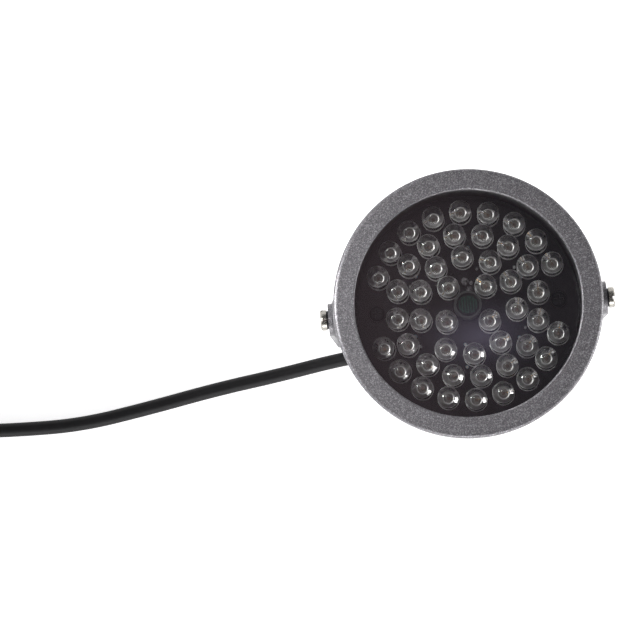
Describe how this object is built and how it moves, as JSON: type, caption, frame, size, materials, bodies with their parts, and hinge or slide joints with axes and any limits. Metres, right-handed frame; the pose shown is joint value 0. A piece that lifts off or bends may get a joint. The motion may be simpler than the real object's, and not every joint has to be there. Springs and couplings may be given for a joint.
{
  "type": "infrared illuminator",
  "caption": "Round infrared lamp for a night-vision camera: a drum head of domed LEDs under a clear window, tilting in a folded steel bracket, with a power cord.",
  "frame": {"origin": "middle of the underside of the bracket's base plate, on the wall or floor it is fixed to", "axes": "+Z out through the window with the head untilted, X along the tilt screws, the cord leaves towards -X"},
  "size_m": [0.2127, 0.07, 0.072],
  "materials": {
    "coated_steel": "satin",
    "coated_alloy": "satin",
    "window": "gloss",
    "seal_rubber": "matte",
    "clear_epoxy": "gloss",
    "sensor_resin": "gloss",
    "black_plastic": "matte",
    "black_board": "satin",
    "black_steel": "satin",
    "nickel_plate": "polished",
    "resistor_coat": "satin",
    "red_wire": "satin",
    "black_cord": "matte",
    "contact_metal": "satin"
  },
  "bodies": {
    "bracket": {"bracket": "coated_steel", "power_cord": "black_cord", "power_cord_coil": "black_cord", "power_cord_tail": "black_cord", "dc_jack_body": "black_plastic", "dc_jack_sleeve": "contact_metal", "dc_jack_pin": "contact_metal"},
    "head": {"front_ring": "coated_alloy", "main_housing": "coated_alloy", "window_glass": "window", "window_gasket": "seal_rubber", "housing_oring": "seal_rubber", "strain_relief": "seal_rubber", "leds_inner_ring": "clear_epoxy", "leds_second_ring": "clear_epoxy", "leds_third_ring": "clear_epoxy", "leds_outer_ring": "clear_epoxy", "photocell": "sensor_resin", "photocell_sleeve": "black_plastic", "led_board": "black_board", "board_screws": "black_steel", "tilt_screws": "nickel_plate", "lock_washers": "black_steel", "string_resistors": "resistor_coat", "bias_resistor": "resistor_coat", "polarity_diode": "black_plastic", "switch_transistor": "black_plastic", "wire_positive": "red_wire", "wire_negative": "black_cord", "cord_entry": "black_cord", "cable_tie": "black_plastic"}
  },
  "joints": [
    {"name": "head_tilt", "type": "hinge", "parent": "bracket", "child": "head", "pos_m": [0, 0, 0.052], "axis": [1, 0, 0], "range_deg": [-90, 90]}
  ]
}
